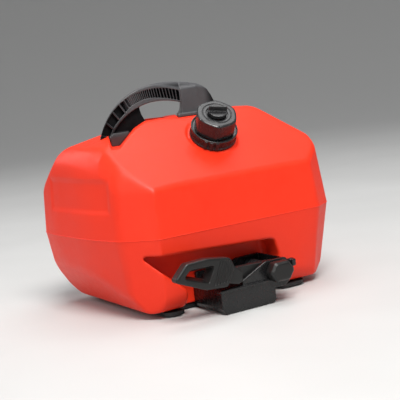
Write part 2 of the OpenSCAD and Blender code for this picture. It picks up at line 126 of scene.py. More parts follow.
def less(a, b, r):
    """a with b cut out of it, with a round of radius r on the rim."""
    return both(a, -b, r)


def smooth(t):
    t = np.clip(t, 0, 1)
    return t * t * (3 - 2 * t)


class Grid:
    """A box of sample points; x, y and z broadcast against each other."""

    def __init__(self, lo, hi, h):
        self.lo = np.array(lo, float) - 2.3 * h
        self.h = h
        n = np.ceil((np.array(hi, float) + 2.3 * h - self.lo) / h).astype(int) + 1
        ax = [(self.lo[i] + h * np.arange(n[i])).astype(np.float32) for i in range(3)]
        self.x, self.y, self.z = ax[0][:, None, None], ax[1][None, :, None], ax[2][None, None, :]
        self.shape = tuple(n)

    def xz(self, pts):
        return poly_sd(self.x, self.z, pts)

    def xy(self, pts):
        return poly_sd(self.x, self.y, pts)

    def yz(self, pts):
        return poly_sd(self.y, self.z, pts)

    def slab_y(self, y0, y1):
        return np.abs(self.y - (y0 + y1) / 2) - abs(y1 - y0) / 2

    def along_y(self, pts, y0, y1, r):
        return both(self.xz(pts), self.slab_y(y0, y1), r)

    def cyl_y(self, x, z, rad, y0, y1, r):
        return both(np.hypot(self.x - x, self.z - z) - rad, self.slab_y(y0, y1), r)


def skin(g, d):
    """The zero surface of a field as quads (vertices in mm, faces)."""
    d = np.ascontiguousarray(np.broadcast_to(d, g.shape), np.float32)
    s = d < 0
    c = np.zeros(tuple(n - 1 for n in g.shape), np.int8)
    corners = [(i, j, k) for i in (0, 1) for j in (0, 1) for k in (0, 1)]
    nx, ny, nz = c.shape
    for i, j, k in corners:
        c += s[i:i + nx, j:j + ny, k:k + nz]
    mixed = (c > 0) & (c < 8)
    ijk = np.argwhere(mixed)
    idx = np.full(c.shape, -1, np.int32)
    idx[mixed] = np.arange(len(ijk))
    acc = np.zeros((len(ijk), 3))
    cnt = np.zeros(len(ijk))
    for a in corners:
        for ax in range(3):
            if a[ax]:
                continue
            b = list(a)
            b[ax] = 1
            da = d[ijk[:, 0] + a[0], ijk[:, 1] + a[1], ijk[:, 2] + a[2]]
            db = d[ijk[:, 0] + b[0], ijk[:, 1] + b[1], ijk[:, 2] + b[2]]
            m = (da < 0) != (db < 0)
            t = da[m] / (da[m] - db[m])
            p = np.tile(np.array(a, float), (len(t), 1))
            p[:, ax] = t
            acc[m] += p
            cnt[m] += 1
    v = g.lo + (ijk + acc / cnt[:, None]) * g.h
    faces = []
    for ax in range(3):
        u, w = (ax + 1) % 3, (ax + 2) % 3
        lo = [slice(1, None)] * 3
        hi = [slice(1, None)] * 3
        lo[ax], hi[ax] = slice(0, -1), slice(1, None)
        lo[u] = lo[w] = hi[u] = hi[w] = slice(1, -1)
        a, b = s[tuple(lo)], s[tuple(hi)]
        e = np.argwhere(a != b)
        inside_low = a[a != b]
        e[:, u] += 1
        e[:, w] += 1
        quad = []
        for du, dw in ((-1, -1), (0, -1), (0, 0), (-1, 0)):
            q = e.copy()
            q[:, u] += du
            q[:, w] += dw
            quad.append(idx[q[:, 0], q[:, 1], q[:, 2]])
        quad = np.stack(quad, 1)
        quad[~inside_low] = quad[~inside_low][:, ::-1]
        faces.append(quad)
    return v, np.concatenate(faces)


# --------------------------------------------------------------- mesh helpers


def make(name, parts, material, body, nodes=(), mirror=False, flat=False):
    """A piece from a list of (vertices in mm, faces)."""
    vs, fs, off = [], [], 0
    for v, f in parts:
        v = np.array(v, float)
        vs.append(v)
        fs += [tuple(int(i) + off for i in q) for q in f]
        off += len(v)
    v = np.concatenate(vs) * MM
    if mirror:
        v[:, 1] *= -1
        fs = [q[::-1] for q in fs]
    me = bpy.data.meshes.new(name)
    me.from_pydata(v.tolist(), [], fs)
    me.validate()
    me.update()
    me.polygons.foreach_set("use_smooth", [not flat] * len(me.polygons))
    ob = bpy.data.objects.new(name, me)
    bpy.context.scene.collection.objects.link(ob)
    me.materials.append(material)
    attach(ob, body)
    if nodes:
        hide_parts(*nodes)
    return ob


def lathe(profile, n=96):
    """A closed outline of (radius, height) turned round the Z axis."""
    p = np.array(profile, float)
    m = len(p)
    v, f = [], []
    for i in range(n):
        a = 2 * math.pi * i / n
        for r, z in p:
            v.append((r * math.cos(a), r * math.sin(a), z))
    for i in range(n):
        j = (i + 1) % n
        for k in range(m):
            l = (k + 1) % m
            f.append((i * m + k, j * m + k, j * m + l, i * m + l))
    return np.array(v), f


def tube(path, section, closed=False, up=(0, 0, 1)):
    """A section of (side, up) offsets swept along a path."""
    path = np.array(path, float)
    n, m = len(path), len(section[0])
    up = np.array(up, float)
    v, f = [], []
    for i in range(n):
        a = path[i - 1] if closed or i else path[0]
        b = path[(i + 1) % n] if closed or i < n - 1 else path[-1]
        t = (b - a) / np.linalg.norm(b - a)
        side = np.cross(t, up)
        side /= np.linalg.norm(side)
        top = np.cross(side, t)
        for q in section[i % len(section)]:
            v.append(path[i] + side * q[0] + top * q[1])
    for i in range(n if closed else n - 1):
        j = (i + 1) % n
        for k in range(m):
            l = (k + 1) % m
            f.append((i * m + k, j * m + k, j * m + l, i * m + l))
    if not closed:
        f.append(tuple(range(m)))
        f.append(tuple((n - 1) * m + k for k in reversed(range(m))))
    return np.array(v), f


# the filler neck tilts forward with the roof and leans a little to the left
NECK = np.array((14.5, -61.0, 221.929))
TILT, LEAN = math.atan(0.7857), math.radians(8.5)
AXES = np.array((
    (math.cos(LEAN), 0.0, math.sin(LEAN)),
    (-math.sin(TILT) * math.sin(LEAN), math.cos(TILT), math.sin(TILT) * math.cos(LEAN)),
    (-math.cos(TILT) * math.sin(LEAN), -math.sin(TILT), math.cos(TILT) * math.cos(LEAN))))


def on_neck(v):
    """From the filler's own axes to the frame."""
    return np.array(v, float) @ AXES + NECK


# ------------------------------------------------------------------ materials


class Nodes:
    """Short names for building a node tree."""

    def __init__(self, name):
        self.mat = bpy.data.materials.new(name)
        self.mat.use_nodes = True
        self.t = self.mat.node_tree
        self.b = self.t.nodes["Principled BSDF"]
        self.co = self.add("ShaderNodeTexCoord").outputs["Object"]

    def add(self, kind, **kw):
        n = self.t.nodes.new(kind)
        for k, v in kw.items():
            setattr(n, k, v)
        return n

    def link(self, a, b):
        self.t.links.new(a, b)

    def noise(self, scale, detail=3.0, rough=0.5, stretch=None, offset=(0, 0, 0)):
        m = self.add("ShaderNodeMapping")
        m.inputs["Scale"].default_value = stretch or (1, 1, 1)
        m.inputs["Location"].default_value = offset
        self.link(self.co, m.inputs["Vector"])
        n = self.add("ShaderNodeTexNoise")
        n.inputs["Scale"].default_value = scale
        n.inputs["Detail"].default_value = detail
        n.inputs["Roughness"].default_value = rough
        self.link(m.outputs["Vector"], n.inputs["Vector"])
        return n.outputs["Fac"]

    def ramp(self, fac, stops):
        r = self.add("ShaderNodeValToRGB")
        e = r.color_ramp.elements
        while len(e) < len(stops):
            e.new(0.5)
        for q, (pos, col) in zip(e, stops):
            q.position = pos
            q.color = (*col, 1) if len(col) == 3 else col
        self.link(fac, r.inputs["Fac"])
        return r.outputs["Color"]

    def span(self, fac, lo, hi, a=0.3, b=0.7):
        m = self.add("ShaderNodeMapRange")
        for k, v in (("From Min", a), ("From Max", b), ("To Min", lo), ("To Max", hi)):
            m.inputs[k].default_value = v
        self.link(fac, m.inputs["Value"])
        return m.outputs["Result"]

    def mix(self, fac, a, b, mode="MIX"):
        m = self.add("ShaderNodeMix", data_type="RGBA", blend_type=mode)
        for sock, v in ((m.inputs[0], fac), (m.inputs[6], a), (m.inputs[7], b)):
            if hasattr(v, "is_linked"):
                self.link(v, sock)
            else:
                sock.default_value = v
        return m.outputs[2]

    def math(self, op, a, b=0.0):
        m = self.add("ShaderNodeMath", operation=op)
        for sock, v in ((m.inputs[0], a), (m.inputs[1], b)):
            if hasattr(v, "is_linked"):
                self.link(v, sock)
            else:
                sock.default_value = v
        return m.outputs[0]

    def bump(self, height, dist, strength=1.0, after=None):
        n = self.add("ShaderNodeBump")
        n.inputs["Distance"].default_value = dist
        n.inputs["Strength"].default_value = strength
        self.link(height, n.inputs["Height"])
        if after is not None:
            self.link(after, n.inputs["Normal"])
        return n.outputs["Normal"]

    def out(self, color, rough, normal, **consts):
        self.link(color, self.b.inputs["Base Color"])
        self.link(rough, self.b.inputs["Roughness"])
        self.link(normal, self.b.inputs["Normal"])
        for k, v in consts.items():
            self.b.inputs[k.replace("_", " ")].default_value = v
        return self.mat


def red_plastic():
    n = Nodes("tank_hdpe")
    broad = n.noise(7.0, 3, 0.55)
    fine = n.noise(95.0, 4, 0.6)
    grain = n.noise(1300.0, 2, 0.5)
    wave = n.noise(16.0, 2, 0.4, offset=(0.3, 0.1, 0.7))
    scuff = n.noise(60.0, 5, 0.7, stretch=(1.0, 1.0, 6.0), offset=(2, 5, 1))
    col = n.ramp(broad, [(0.25, (0.76, 0.026, 0.007)), (0.75, (0.82, 0.034, 0.010))])
    col = n.mix(n.span(fine, 0.0, 0.16, 0.35, 0.75), col, (0.84, 0.048, 0.016, 1))
    col = n.mix(n.span(scuff, 0.0, 0.22, 0.66, 0.80), col, (0.86, 0.080, 0.036, 1))
    rough = n.math("ADD", n.span(fine, 0.38, 0.48), n.span(scuff, 0.0, 0.12, 0.6, 0.8))
    nor = n.bump(wave, 0.0016, 0.30)
    nor = n.bump(grain, 0.00012, 0.50, nor)
    return n.out(col, rough, nor, Specular_IOR_Level=0.26)


def dark_plastic(name, lo, hi, rough, grain_scale, grain_dist, wear=None, spots=0.2, spec=0.5, deep=None):
    n = Nodes(name)
    broad = n.noise(24.0, 3, 0.55)
    fine = n.noise(160.0, 4, 0.6)
    grain = n.noise(grain_scale, 2, 0.5)
    scratch = n.noise(110.0, 4, 0.65, stretch=(1.0, 7.0, 1.0), offset=(4, 1, 2))
    col = n.ramp(broad, [(0.3, lo), (0.7, hi)])
    col = n.mix(n.span(fine, 0.0, spots, 0.45, 0.8), col, (*[c * 1.5 for c in hi], 1))
    if wear:
        col = n.mix(n.span(scratch, 0.0, spots, 0.62, 0.80), col, (*wear, 1))
    r = n.math("ADD", n.span(fine, rough[0], rough[1]), n.span(scratch, 0.0, 0.06, 0.6, 0.8))
    if deep:
        # darker low on the foot, and painted shade on the floors of the recesses near the middle plane
        at = n.add("ShaderNodeSeparateXYZ")
        n.link(n.co, at.inputs[0])
        facing = n.add("ShaderNodeSeparateXYZ")
        n.link(n.add("ShaderNodeTexCoord").outputs["Normal"], facing.inputs[0])
        # the foot is made darker towards its bottom
        low = n.math("MULTIPLY", n.span(at.outputs["Z"], 0.75, 0.0, 0.240, 0.252), n.span(fine, 0.8, 1.0))
        col = n.mix(low, col, (0.014, 0.014, 0.0145, 1))
        # painted shade: side-facing cell floors and web faces near the middle plane are darkened, and their specular
        # is lowered so they show no highlight
        inner = n.span(n.math("ABSOLUTE", at.outputs["Y"]), 1.0, 0.0, *deep)
        level = n.span(n.math("ABSOLUTE", facing.outputs["Y"]), 0.0, 1.0, 0.45, 0.8)
        painted_shade = n.math("MULTIPLY", n.math("MULTIPLY", inner, level), n.span(fine, 0.86, 0.96))
        col = n.mix(painted_shade, col, (0.003, 0.003, 0.0035, 1))
        n.link(n.span(painted_shade, spec, 0.06, 0.0, 0.9), n.b.inputs["Specular IOR Level"])
    nor = n.bump(broad, 0.0004, 0.15)
    nor = n.bump(grain, grain_dist, 0.5, nor)
    return n.out(col, r, nor, Specular_IOR_Level=spec)


def metal(name, lo, hi, rough):
    n = Nodes(name)
    brushed = n.noise(260.0, 3, 0.6, stretch=(1.0, 1.0, 9.0))
    fine = n.noise(700.0, 2, 0.5)
    col = n.ramp(brushed, [(0.3, lo), (0.7, hi)])
    r = n.span(brushed, rough[0], rough[1])
    nor = n.bump(brushed, 0.00008, 0.5)
    nor = n.bump(fine, 0.00004, 0.4, nor)
    return n.out(col, r, nor, Metallic=1.0)


M = {
    "tank_red": red_plastic(),
    "handle_black": dark_plastic("handle_nylon", (0.056, 0.056, 0.060), (0.068, 0.068, 0.072),
                                 (0.36, 0.46), 1500.0, 0.00008, (0.09, 0.09, 0.094), deep=(0.0090, 0.0114)),
    "cap_black": dark_plastic("cap_polymer", (0.014, 0.014, 0.015), (0.019, 0.019, 0.020),
                              (0.22, 0.30), 1700.0, 0.00002, (0.03, 0.03, 0.031), 0.12, 0.42),
    "latch_gloss": dark_plastic("latch_glass_nylon", (0.006, 0.006, 0.0065), (0.009, 0.009, 0.0095),
                                (0.22, 0.30), 1500.0, 0.00003, (0.02, 0.02, 0.021), 0.15, 0.42),
    "latch_grip": dark_plastic("latch_soft_grip", (0.006, 0.0059, 0.0058), (0.009, 0.0088, 0.0086),
                               (0.36, 0.46), 1900.0, 0.00008, (0.022, 0.0215, 0.021), 0.2, 0.40),
    "frame_black": dark_plastic("frame_polymer", (0.010, 0.010, 0.0105), (0.015, 0.015, 0.0155),
                                (0.46, 0.58), 1300.0, 0.00012, (0.03, 0.03, 0.031), 0.2, 0.4),
    "bush_polymer": dark_plastic("bush_polymer", (0.045, 0.045, 0.043), (0.060, 0.060, 0.057),
                                 (0.40, 0.50), 1500.0, 0.00008),
    "steel": metal("zinc_steel", (0.30, 0.30, 0.31), (0.40, 0.40, 0.41), (0.30, 0.42)),
    "black_steel": metal("blackened_steel", (0.055, 0.055, 0.058), (0.085, 0.085, 0.09), (0.34, 0.46)),
    "brass": metal("brass", (0.62, 0.42, 0.15), (0.76, 0.55, 0.24), (0.22, 0.36)),
    "rubber": dark_plastic("rubber", (0.014, 0.014, 0.014), (0.020, 0.020, 0.020),
                           (0.72, 0.84), 1600.0, 0.00018),
}

# ------------------------------------------------------------------- the tank

PLAN = rounded([(-123, -130), (132, -130), (168.5, -105), (179, -55), (183, 0), (179, 55),
                (165, 103), (132, 130), (-152, 130), (-178.5, 115.5), (-182.9, 62), (-177, -20),
                (-161, -92)],
               [6, 20, 30, 250, 400, 200, 60, 20, 24, 34, 260, 400, 40], 9)
LONG = rounded([(-134, 7), (134, 7), (205, 68), (205, 161.2), (114, 254), (-16, 254.2), (-42, 256.2),
                (-66, 254.6), (-86, 247.5), (-157, 229), (-180, 215.5), (-194, 196), (-207, 160), (-207, 113)],
               [14, 26, 4, 4, 26, 60, 30, 30, 40, 44, 30, 40, 4, 4], 7)
CROSS = rounded([(-106, 7), (106, 7), (150, 66), (150, 150), (24, 243), (17.3, 262),
                 (-10, 262), (-150, 152), (-150, 66)],
                [22, 22, 2, 2, 6, 2, 2, 2, 2], 5)
# the handle's sides run back at an angle: its outlines are drawn on X - SKEW * Y
SKEW = math.tan(math.radians(27.0))
# lower shoulder left of the hump, with a wall that runs diagonally to the front
STEP = np.array([(-222, -122), (-108, -25), (-108, 200), (-260, 200), (-260, -140)], float)
NOTCH = rounded([(-109.6, 225), (-97.4, 225), (-80.8, 239.5), (-73.5, 245.8), (-64, 250), (-50, 258),
                 (-40, 290), (-112.4, 290), (-112.4, 238)], [0.8, 1.5, 0, 6, 10, 0, 0, 0, 3], 4)
VALLEY = rounded([(-95, 236), (-18, 236), (-8, 290), (-95, 290)], [2, 10, 0, 0])
SEAT = [(-3.4, 251), (87.4, 251), (90, 270), (-6, 270)]
POCKET = rounded([(-84, -20), (64, -20), (61, 56), (54, 77.5), (-141, 87.5), (-121, 65), (-84, 34)],
                 [0, 0, 6, 9, 3, 12, 16], 5)


def tank_field(g):
    plan = g.xy(PLAN) + 0.5
    left, right = smooth((-70 - g.x) / 70), smooth((g.x - 90) / 50)
    up = (plan + (0.12 - 0.06 * left) * (g.z - 109)) * 0.993
    dn = (plan + (0.11 + 0.04 * left + 0.09 * right) * (109 - g.z)) * 0.99
    d = both(g.xz(LONG), g.yz(CROSS), 4.5)
    # the shoulder: a flat top that slopes down to the front left
    # and swells up to the handle's left leg
    skewed = g.x - SKEW * g.y
    swell = 9.0 * np.exp(-((skewed + 119) / 30) ** 2 - ((g.y + 8) / 34) ** 2)
    front = (g.z - (246.7 + 0.108 * g.x + 0.376 * g.y + swell)) / 1.07
    top = g.z - (231.8 + 0.0271 * (g.x + 230)) + 0 * g.y
    shoulder = join(-front, -top, 12.0)
    flank = (g.xy(STEP) - 1.0 * np.clip(-shoulder, 0, 30)) / 1.41
    d = less(d, both(flank, shoulder, 44.0), 5.0)
    soft = 13.0 + 13.0 * smooth((20 - g.y) / 60)
    r = 4.0 + soft * smooth((-114 - g.x) / 60) * smooth((g.z - 120) / 50)
    d = both(d, np.maximum(up, dn), r)
    # sunk panel on the left end, with sloping sides
    side = np.maximum(np.abs(g.y + 3) - 70, np.abs(g.z - 166) - 20)
    d = d + 1.6 * smooth((5.0 - side) / 9.0) * (g.x < -120)
    # spot face and seat ring of the filler
    a, b, w = [k[0] * (g.x - NECK[0]) + k[1] * (g.y - NECK[1]) + k[2] * (g.z - NECK[2]) for k in AXES]
    r = np.hypot(a, b)
    d = less(d, both(r - 36.5, 0.6 - w, 1.5), 2.0)
    d = join(d, both(r - 35.0, np.abs(w + 3.5) - 4.5, 1.4), 1.5)
    # seats of the handle and the hand room under its grip
    d = less(d, both(poly_sd(skewed, g.z, NOTCH), g.slab_y(-75, 20), 2.0), 2.0)
    d = less(d, both(poly_sd(skewed, g.z, SEAT), g.slab_y(-75, 20.5), 1.0), 1.2)
    d = less(d, both(g.xz(VALLEY), np.abs(g.y) - 17.0, 3.0), 1.2)
    pocket = g.xz(POCKET)
    for y in (g.y, -g.y):
        d = less(d, both(pocket, y + 90.0, 7.0), 3.2)
    return less(d, np.maximum(r - 18.5, -w - 70.0), 0.5)


def tank_piece():
    g = Grid((-185, -132, 5), (185, 132, 256), 1.8)
    parts = [skin(g, tank_field(g))]
    # moulding seam: a thin proud bead at the parting line
    n = len(PLAN)
    dense = []
    for i in range(n):
        a, b = PLAN[i], PLAN[(i + 1) % n]
        k = max(1, int(np.linalg.norm(b - a) / 6))
        dense += [a + (b - a) * j / k for j in range(k)]
    dense = [q for i, q in enumerate(dense) if np.linalg.norm(q - dense[i - 1]) > 0.05]
    path = [(q[0], q[1], 109.0) for q in dense]
    sec = [(-1.9, -0.9), (-0.4, -0.75), (-0.05, -0.35), (-0.05, 0.35), (-0.4, 0.75), (-1.9, 0.9)]
    parts.append(tube(path, [sec], closed=True))
    return make("tank_body", parts, M["tank_red"], "tank", ["tank_shell"])


def neck_piece():
    prof = [(18.5, -8), (22.5, -8), (22.5, 28.8), (21.7, 29.9), (20.9, 30.0), (19.3, 30.0), (18.6, 29.4), (18.5, 28.5)]
    parts = [lathe(prof, 96)]
    turns, n = 1.25, 96
    k = int(turns * n)
    path, sec = [], []
    for i in range(k + 1):
        a = 2 * math.pi * i / n
        t = min(1.0, min(i, k - i) / 9.0)
        h = 0.25 + 0.75 * t
        path.append((22.0 * math.cos(a), 22.0 * math.sin(a), 18.5 + 6 * i / n))
        sec.append([(-0.6, -1.4), (2.0 * h - 0.5, -0.75), (2.0 * h, -0.35), (2.0 * h, 0.35), (2.0 * h - 0.5, 0.75), (-0.6, 1.4)])
    parts.append(tube(path, sec))
    return make("filler_neck", [(on_neck(v), f) for v, f in parts], M["tank_red"], "tank", ["tank_shell"])


# ------------------------------------------------------------------ the handle

H_OUT = [(-126, 236), (-113, 275), (-68, 312), (6, 299.6)]
H_IN = [(-108, 236), (-94, 262), (-52, 290), (6, 271)]
# dividers between the cells of the grip, as places along its outer edge
RIBS = [0.04, 0.195, 0.325, 0.427, 0.492, 0.525, 0.543, 0.561, 0.579, 0.597, 0.615, 0.633, 0.651,
        0.669, 0.687, 0.706, 0.725, 0.745, 0.766, 0.787, 0.809, 0.832, 0.856, 0.881, 0.907, 0.934,
        0.962, 0.992]


def h_pt(t, low):
    """A point on a divider, at the upper or the lower end of the cells."""
    k = np.interp(t, [0.2, 0.33, 0.43, 0.5, 0.65, 0.72, 0.79, 0.85, 0.9, 1.0],
                  [0.79, 0.81, 0.79, 0.70, 0.70, 0.72, 0.80, 0.85, 0.90, 0.93] if low else
                  [0.08, 0.08, 0.09, 0.12, 0.18, 0.21, 0.25, 0.29, 0.33, 0.43])
    back = np.interp(t, [0.0, 0.1, 0.2, 0.4, 0.72, 0.79, 0.85, 0.9], [0.03, 0.07, 0.075, 0.05, 0.045, 0.03, 0.01, 0.0])
    return bez(H_OUT, t) * (1 - k) + bez(H_IN, t - back) * k


def handle_field(g):
    n = 40
    band = [bez(H_OUT, i / n) for i in range(n + 1)] + [(21, 297.4), (21, 271)]
    band += [bez(H_IN, i / n) for i in range(n, -1, -1)]
    post = rounded([(4, 249), (6, 270), (6, 299.6), (21, 297.4), (33, 295), (43, 291), (50, 286),
                    (55, 278), (60, 267), (64, 249)], [0, 6, 0.5, 10, 20, 20, 12, 14, 20, 0])
    # the top is crowned across, most of all over the post
    ridge = [bez(H_OUT, i / n) for i in range(n + 1)] + [(21, 297.4), (33, 295), (43, 291), (50, 286), (55, 278)]
    crest = np.interp(g.x, [q[0] for q in ridge], [q[1] for q in ridge])
    drop = np.interp(g.x, [-60, -37, -22, -6, 6, 20, 32, 42, 55], [0, 1.3, 4.5, 8.0, 9.8, 7.2, 4.2, 3.0, 2.0])
    half = np.where(g.x < -60, 12.0 - (-60 - g.x) * 0.05, 12.0)
    edge = np.where(g.x > 5, 14.0, 12.0)
    crown = 0.75 * (g.z - crest + drop * np.minimum(np.abs(g.y) / edge, 1.1) ** 1.7)
    crown = np.where(g.x < -58, -50, crown)
    d = both(np.maximum(g.xz(np.array(band)), crown), np.abs(g.y) - half, 1.5)
    cells = None
    for i, (t0, t1) in enumerate(zip(RIBS[:-1], RIBS[1:])):
        a, b, c, e = h_pt(t0, 0), h_pt(t0, 1), h_pt(t1, 1), h_pt(t1, 0)
        k = (c - b) / np.linalg.norm(c - b) * (1.1 if i < 4 else 0.55)
        q = g.xz(np.array([a + k, b + k, c - k, e - k]))
        cells = q if cells is None else np.minimum(cells, q)
    # the fine cells get shallower towards the left, the wide ones are deep
    floor = np.interp(g.x - 0.3 * (285 - g.z), [-86, -82, -74, -60, -44, -28], [4.0, 8.6, 10.4, 10.2, 7.5, 4.0])
    d = less(d, both(cells, floor - np.abs(g.y), 0.4), 0.4)
    # right post, with a soft bend down its front, and its foot flange
    turn = g.x - 31.5 + 0.06 * (g.z - 275)
    ph = 13.9 - 0.20 * 0.5 * (turn + np.sqrt(turn * turn + 9.0))
    d = join(d, both(np.maximum(g.xz(post), crown), np.abs(g.y) - ph, 1.5), 0.6)
    flange = [(-2, 251), (86, 251), (86, 255), (84, 256), (0, 256), (-2, 255)]
    d = join(d, both(g.xz(flange), np.abs(g.y) - 18.9, 1.3), 1.0)
    fillet = rounded([(-1.5, 254), (20, 254), (20, 278), (6, 278), (3.5, 262)], [0, 0, 0, 0, 9])
    d = join(d, both(g.xz(fillet), np.abs(g.y) - 11.0, 0.6), 0.5)
    # left foot: a wedge with a sloping upper edge, and the corner web
    foot = rounded([(-109, 225), (-98, 225), (-82, 239), (-80.4, 242), (-105, 242), (-111.5, 238)], [0.5, 1, 2, 1, 2, 1.5], 4)
    bevel = (np.abs(g.y) - 18.4) * 0.94 + (g.z - 238.0) * 0.34
    d = join(d, both(np.maximum(g.xz(foot), bevel), np.abs(g.y) - 18.4, 0.7), 0.8)
    web = [(-108, 238), (-88, 240), (-48, 240), (-50, 249.5), (-55, 254), (-58.6, 261), (-60.6, 268), (-61.5, 278),
           (-65, 276), (-92, 259)]
    d = join(d, both(g.xz(web), np.abs(g.y) - 4.0, 0.8), 1.2)
    x = g.x + SKEW * g.y
    for px, py, pz in ((67, -12, 251), (79, 12, 251)):
        r = np.hypot(x - px, g.y - py)
        d = less(d, np.minimum(r - 2.7 + 0 * g.z, np.maximum(r - 4.6, pz + 5.0 - g.z)), 0.3)
    return d


def handle_piece():
    g = Grid((-127, -19.5, 224), (87, 19.5, 302.5), 0.62)
    v, f = skin(g, handle_field(g))
    v[:, 0] += SKEW * v[:, 1]
    return make("handle_moulding", [(v, f)], M["handle_black"], "tank", ["carry_handle"])


# ------------------------------------------------------------------ the filler


def ring_piece():
    g = Grid((-37, -37, 0.5), (37, 37, 17.5), 0.5)
    r = np.hypot(g.x, g.y)
    a = np.arctan2(g.y, g.x)
    knurl = 0.5 + 0.5 * np.cos(60 * a)
    band = smooth((g.z - 4.4) / 0.7) * smooth((13.8 - g.z) / 0.7)
    out = 32.4 - band * (0.5 + 0.9 * knurl)
    d = both((r - out) * 0.85, np.abs(g.z - 9.0) - 7.9, 0.9)
    for deg in (216, 230, 244):
        t = math.radians(deg)
        u = g.x * math.cos(t) + g.y * math.sin(t)
        v = -g.x * math.sin(t) + g.y * math.cos(t)
        q = both(both(np.abs(u - 31.6) - 2.0, np.abs(v) - 2.1, 0.7), np.abs(g.z - 8.6) - 6.6, 0.7)
        d = join(d, q, 0.4)
    # a raised rim round the top, lower inside
    d = less(d, both(r - 30.6, 14.6 - g.z, 0.5), 0.4)
    bore = np.where(g.z < 7.9, 22.52, 25.2)
    d = less(d, r - bore, 0.35)
    v, f = skin(g, d)
    return make("neck_lock_ring", [(on_neck(v), f)], M["cap_black"], "tank", ["lock_ring"])


def cap_piece():
    g = Grid((-29.5, -29.5, 15.8), (29.5, 29.5, 41.6), 0.45)
    r = np.hypot(g.x, g.y)
    a = np.arctan2(g.y, g.x)
    # six flats with rounded corners, and a rib on each corner
    step = math.radians(60)
    first = math.radians(59)
    corner = np.mod(a - first + step / 2, step) - step / 2
    flat = np.mod(a - first, step) - step / 2
    body = both(r * np.cos(flat) - 27.1, r - 28.0, 2.0)
    rib = both(r * np.cos(corner) - 28.5, np.abs(r * np.sin(corner)) - 1.7, 0.6)
    d2 = join(body, rib, 0.6) + 0.006 * (g.z - 16.4)
    d = both(d2, np.abs(g.z - 28.7) - 12.3, 0.5)
    # broad bevel round the top
    d = both(d, 0.906 * (g.z - 41.0 + 0.466 * (d2 + 2.4)), 0.4)
    d = less(d, both(np.abs(r - 19.6) - 0.7, 40.2 - g.z, 0.3), 0.35)
    d = less(d, both(r - 15.0, 39.4 - g.z, 0.3), 0.5)
    d = less(d, np.maximum(r - 24.5, g.z - 33.5), 0.4)
    d = less(d, r - 4.05 + 0 * g.z, 0.2)
    v, f = skin(g, d)
    parts = [(on_neck(v), f)]
    for deg in (0, 90, 180, 270):
        path = []
        for i in range(9):
            t = math.radians(deg + 3 * i)
            path.append((24.3 * math.cos(t), 24.3 * math.sin(t), 21.5 + deg / 60))
        sec = [(-1.0, -1.0), (0.7, -1.0), (0.7, 1.0), (-1.0, 1.0)]
        v, f = tube(path, [sec])
        parts.append((on_neck(v), f))
    return make("filler_cap_body", parts, M["cap_black"], "cap", ["filler_cap"])


def knob_piece():
    g = Grid((-14, -14, 30.5), (14, 14, 54), 0.36)
    r = np.hypot(g.x, g.y)
    d = both(r - 13.2, np.abs(g.z - 43.6) - 2.6, 0.7)
    # a tall finger bar across the disc
    t = math.radians(-26)
    v = -g.x * math.sin(t) + g.y * math.cos(t)
    bar = both(r - 12.8 + 0.08 * (g.z - 46), np.abs(v - 0.6) - 2.1 + 0.07 * (g.z - 46), 0.8)
    d = join(d, both(bar, np.abs(g.z - 49.2) - 4.0, 0.7), 0.8)
    d = np.minimum(d, both(r - 4.0, np.abs(g.z - 36.6) - 5.6, 0.4))
    d = less(d, np.maximum(r - 1.0, g.z - 38.0), 0.1)
    v, f = skin(g, d)
    return make("vent_knob_body", [(on_neck(v), f)], M["cap_black"], "vent", ["vent_knob"])


# ------------------------------------------------------------------ the latches

PX, PZ = 28.0, 43.0


def lever_field(g):
    ring = rounded([(-54, 38.5), (-41, 63), (-47, 76), (-81, 81), (-112, 80), (-132, 60), (-86, 41)],
                   [8, 9, 7, 10, 7, 4, 7], 5)
    hole = rounded([(-82, 49), (-70, 70.5), (-107, 71.5), (-119, 62)], [3, 3, 4, 3], 4)
    s = g.xz(ring)
    # the loop's front is bevelled all round its outside
    bevel = 0.62 * s + 0.785 * (-170.2 - g.y) - 0.2
    d = both(s, g.slab_y(-172, -158), 1.6)
    d = both(d, bevel, 0.8)
    h = g.xz(hole) + 0.34 * (g.y + 172.0)
    d = less(d, h, 1.1)
    # slanted grip grooves right of the hole
    for i in range(6):
        a = (-74 + i * 4.4, 46.0 + 0.2 * i)
        b = (-61.5 + i * 3.3, 75.0 - 0.9 * i)
        q = np.sqrt(seg_d(g.x, g.z, a, b) ** 2 + (g.y + 172.2) ** 2) - 1.3
        d = less(d, q, 0.35)
    neck = [(-58, 44), (-36, 38), (-29, 40), (-29, 55), (-44, 66), (-56, 66)]
    d = join(d, g.along_y(rounded(neck, 2), -168, -145, 1.6), 1.0)
    arm = [(-40, 40), (PX, PZ - 7.5), (PX, PZ + 13), (-40, 58)]
    d = join(d, g.along_y(arm, -155.5, -145, 1.2), 1.0)
    d = join(d, g.cyl_y(PX, PZ, 13.0, -155.5, -145, 0.8), 0.6)
    return less(d, np.hypot(g.x - PX, g.z - PZ) - 5.0 + 0 * g.y, 0.3)


